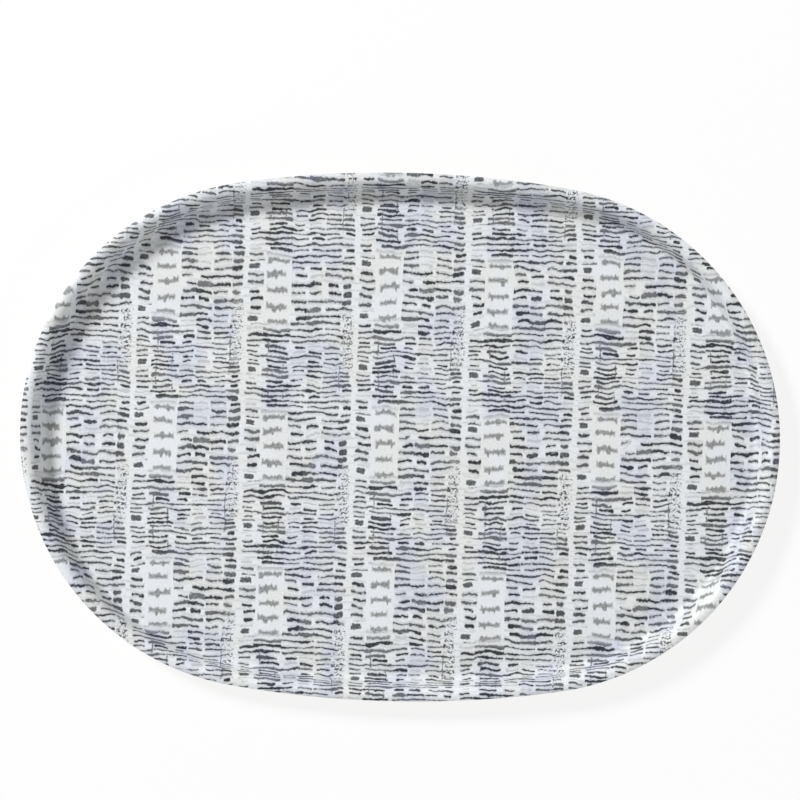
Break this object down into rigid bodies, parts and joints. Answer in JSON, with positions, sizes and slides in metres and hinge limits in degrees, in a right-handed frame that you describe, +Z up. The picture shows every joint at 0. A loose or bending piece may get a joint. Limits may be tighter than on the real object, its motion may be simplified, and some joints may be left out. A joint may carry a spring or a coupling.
{
  "type": "serving tray",
  "caption": "Shallow oval serving tray pressed from thin wood veneers, with a rounded lip, a printed upper face and a plain underside.",
  "frame": {"origin": "centre of the underside, on the surface the tray rests on", "axes": "+X along the long axis, +Y across the tray, +Z up out of the well"},
  "size_m": [0.46, 0.32, 0.0183],
  "materials": {
    "printed_melamine": "satin melamine over an off-white paper printed with slate dashes",
    "birch_long_grain": "fine sanded, grain along the tray",
    "birch_cross_grain": "fine sanded, grain across the tray",
    "plain_melamine": "matt off-white backing"
  },
  "bodies": {
    "root": {"top_print_sheet": "printed_melamine", "face_veneer": "birch_long_grain", "upper_cross_veneer": "birch_cross_grain", "centre_veneer": "birch_long_grain", "lower_cross_veneer": "birch_cross_grain", "back_veneer": "birch_long_grain", "underside_sheet": "plain_melamine"}
  },
  "joints": []
}
